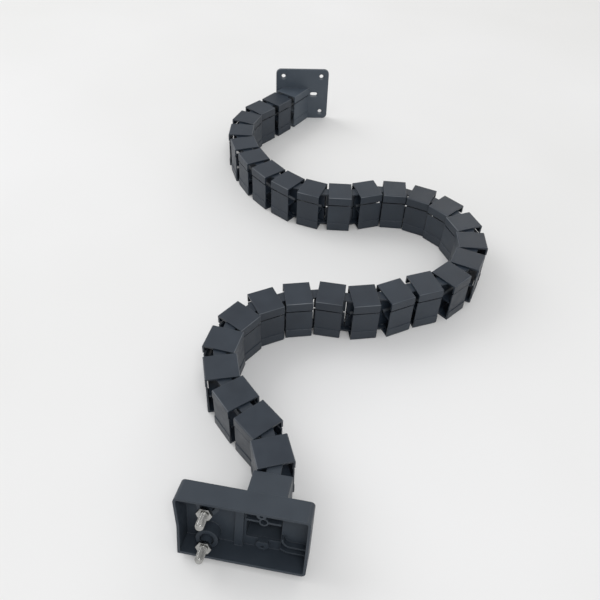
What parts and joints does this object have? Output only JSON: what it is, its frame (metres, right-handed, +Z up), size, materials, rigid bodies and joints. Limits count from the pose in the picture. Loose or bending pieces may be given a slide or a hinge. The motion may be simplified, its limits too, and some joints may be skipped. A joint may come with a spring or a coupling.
{
  "type": "cable spine",
  "caption": "Flat chain of hinged hollow cable links between a square screw-on desk plate and a foot housing with stud bolts; guides cables from desk to floor.",
  "frame": {"origin": "middle of the mounting plate's back face", "axes": "+X along the plate's width, +Y out of the plate's back into the desk or frame it is screwed to, +Z up along every hinge axis; the chain lies on the plane Z = -45 mm"},
  "size_m": [0.3692, 0.8332, 0.09],
  "materials": {
    "charcoal_plastic": "satin moulded charcoal",
    "zinc_steel": "bright zinc plated"
  },
  "bodies": {
    "mounting_plate": {"mounting_plate": "charcoal_plastic"},
    "link_01": {"link_01": "charcoal_plastic"},
    "link_02": {"link_02": "charcoal_plastic"},
    "link_03": {"link_03": "charcoal_plastic"},
    "link_04": {"link_04": "charcoal_plastic"},
    "link_05": {"link_05": "charcoal_plastic"},
    "link_06": {"link_06": "charcoal_plastic"},
    "link_07": {"link_07": "charcoal_plastic"},
    "link_08": {"link_08": "charcoal_plastic"},
    "link_09": {"link_09": "charcoal_plastic"},
    "link_10": {"link_10": "charcoal_plastic"},
    "link_11": {"link_11": "charcoal_plastic"},
    "link_12": {"link_12": "charcoal_plastic"},
    "link_13": {"link_13": "charcoal_plastic"},
    "link_14": {"link_14": "charcoal_plastic"},
    "link_15": {"link_15": "charcoal_plastic"},
    "link_16": {"link_16": "charcoal_plastic"},
    "link_17": {"link_17": "charcoal_plastic"},
    "link_18": {"link_18": "charcoal_plastic"},
    "link_19": {"link_19": "charcoal_plastic"},
    "link_20": {"link_20": "charcoal_plastic"},
    "link_21": {"link_21": "charcoal_plastic"},
    "link_22": {"link_22": "charcoal_plastic"},
    "link_23": {"link_23": "charcoal_plastic"},
    "link_24": {"link_24": "charcoal_plastic"},
    "link_25": {"link_25": "charcoal_plastic"},
    "link_26": {"link_26": "charcoal_plastic"},
    "link_27": {"link_27": "charcoal_plastic"},
    "link_28": {"link_28": "charcoal_plastic"},
    "link_29": {"link_29": "charcoal_plastic"},
    "link_30": {"link_30": "charcoal_plastic"},
    "foot": {"foot_neck": "charcoal_plastic", "foot_housing": "charcoal_plastic", "foot_bolts": "zinc_steel", "foot_nuts": "zinc_steel"}
  },
  "joints": [
    {"name": "hinge_01", "type": "hinge", "parent": "mounting_plate", "child": "link_01", "pos_m": [-0.0265, -0.024, -0.0165], "axis": [0, 0, 1], "range_deg": [-21.3, 29.3]},
    {"name": "hinge_02", "type": "hinge", "parent": "link_01", "child": "link_02", "pos_m": [-0.05274, -0.05419, -0.0165], "axis": [0, 0, -1], "range_deg": [-29.3, 21.3]},
    {"name": "hinge_03", "type": "hinge", "parent": "link_02", "child": "link_03", "pos_m": [-0.08103, -0.08247, -0.0165], "axis": [0, 0, 1], "range_deg": [-45.3, 5.3]},
    {"name": "hinge_04", "type": "hinge", "parent": "link_03", "child": "link_04", "pos_m": [-0.09793, -0.11872, -0.0165], "axis": [0, 0, -1], "range_deg": [-5.3, 45.3]},
    {"name": "hinge_05", "type": "hinge", "parent": "link_04", "child": "link_05", "pos_m": [-0.10142, -0.15857, -0.0165], "axis": [0, 0, 1], "range_deg": [-45.3, 5.3]},
    {"name": "hinge_06", "type": "hinge", "parent": "link_05", "child": "link_06", "pos_m": [-0.09106, -0.19721, -0.0165], "axis": [0, 0, -1], "range_deg": [-14.3, 36.3]},
    {"name": "hinge_07", "type": "hinge", "parent": "link_06", "child": "link_07", "pos_m": [-0.07353, -0.23316, -0.0165], "axis": [0, 0, 1], "range_deg": [-36.3, 14.3]},
    {"name": "hinge_08", "type": "hinge", "parent": "link_07", "child": "link_08", "pos_m": [-0.04946, -0.26511, -0.0165], "axis": [0, 0, -1], "range_deg": [-14.3, 36.3]},
    {"name": "hinge_09", "type": "hinge", "parent": "link_08", "child": "link_09", "pos_m": [-0.01973, -0.29187, -0.0165], "axis": [0, 0, 1], "range_deg": [-44.3, 6.3]},
    {"name": "hinge_10", "type": "hinge", "parent": "link_09", "child": "link_10", "pos_m": [0.01709, -0.3075, -0.0165], "axis": [0, 0, -1], "range_deg": [-6.3, 44.3]},
    {"name": "hinge_11", "type": "hinge", "parent": "link_10", "child": "link_11", "pos_m": [0.05699, -0.31029, -0.0165], "axis": [0, 0, 1], "range_deg": [-44.3, 6.3]},
    {"name": "hinge_12", "type": "hinge", "parent": "link_11", "child": "link_12", "pos_m": [0.09563, -0.29994, -0.0165], "axis": [0, 0, -1], "range_deg": [-46.3, 4.3]},
    {"name": "hinge_13", "type": "hinge", "parent": "link_12", "child": "link_13", "pos_m": [0.13541, -0.30412, -0.0165], "axis": [0, 0, 1], "range_deg": [-4.3, 46.3]},
    {"name": "hinge_14", "type": "hinge", "parent": "link_13", "child": "link_14", "pos_m": [0.17105, -0.32228, -0.0165], "axis": [0, 0, -1], "range_deg": [-46.3, 4.3]},
    {"name": "hinge_15", "type": "hinge", "parent": "link_14", "child": "link_15", "pos_m": [0.19781, -0.35201, -0.0165], "axis": [0, 0, 1], "range_deg": [-2.3, 48.3]},
    {"name": "hinge_16", "type": "hinge", "parent": "link_15", "child": "link_16", "pos_m": [0.21084, -0.38983, -0.0165], "axis": [0, 0, -1], "range_deg": [-48.3, 2.3]},
    {"name": "hinge_17", "type": "hinge", "parent": "link_16", "child": "link_17", "pos_m": [0.20805, -0.42973, -0.0165], "axis": [0, 0, 1], "range_deg": [-2.3, 48.3]},
    {"name": "hinge_18", "type": "hinge", "parent": "link_17", "child": "link_18", "pos_m": [0.18989, -0.46537, -0.0165], "axis": [0, 0, -1], "range_deg": [-48.3, 2.3]},
    {"name": "hinge_19", "type": "hinge", "parent": "link_18", "child": "link_19", "pos_m": [0.15925, -0.49108, -0.0165], "axis": [0, 0, 1], "range_deg": [-2.3, 48.3]},
    {"name": "hinge_20", "type": "hinge", "parent": "link_19", "child": "link_20", "pos_m": [0.12099, -0.50277, -0.0165], "axis": [0, 0, -1], "range_deg": [-19.3, 31.3]},
    {"name": "hinge_21", "type": "hinge", "parent": "link_20", "child": "link_21", "pos_m": [0.08417, -0.51841, -0.0165], "axis": [0, 0, 1], "range_deg": [-8.3, 42.3]},
    {"name": "hinge_22", "type": "hinge", "parent": "link_21", "child": "link_22", "pos_m": [0.04439, -0.52259, -0.0165], "axis": [0, 0, -1], "range_deg": [-42.3, 8.3]},
    {"name": "hinge_23", "type": "hinge", "parent": "link_22", "child": "link_23", "pos_m": [0.00513, -0.51495, -0.0165], "axis": [0, 0, 1], "range_deg": [-42.3, 8.3]},
    {"name": "hinge_24", "type": "hinge", "parent": "link_23", "child": "link_24", "pos_m": [-0.03465, -0.51914, -0.0165], "axis": [0, 0, -1], "range_deg": [-8.3, 42.3]},
    {"name": "hinge_25", "type": "hinge", "parent": "link_24", "child": "link_25", "pos_m": [-0.07147, -0.53476, -0.0165], "axis": [0, 0, 1], "range_deg": [-50.3, 0.3]},
    {"name": "hinge_26", "type": "hinge", "parent": "link_25", "child": "link_26", "pos_m": [-0.09824, -0.56449, -0.0165], "axis": [0, 0, -1], "range_deg": [-0.3, 50.3]},
    {"name": "hinge_27", "type": "hinge", "parent": "link_26", "child": "link_27", "pos_m": [-0.10993, -0.60274, -0.0165], "axis": [0, 0, 1], "range_deg": [-50.3, 0.3]},
    {"name": "hinge_28", "type": "hinge", "parent": "link_27", "child": "link_28", "pos_m": [-0.10437, -0.64235, -0.0165], "axis": [0, 0, -1], "range_deg": [-0.3, 50.3]},
    {"name": "hinge_29", "type": "hinge", "parent": "link_28", "child": "link_29", "pos_m": [-0.08258, -0.6759, -0.0165], "axis": [0, 0, 1], "range_deg": [-30.3, 20.3]},
    {"name": "hinge_30", "type": "hinge", "parent": "link_29", "child": "link_30", "pos_m": [-0.05795, -0.70742, -0.0165], "axis": [0, 0, -1], "range_deg": [-50.3, 0.3]},
    {"name": "hinge_31", "type": "hinge", "parent": "link_30", "child": "foot", "pos_m": [-0.04896, -0.7464, -0.0165], "axis": [0, 0, 1], "range_deg": [-0.3, 50.3]}
  ]
}
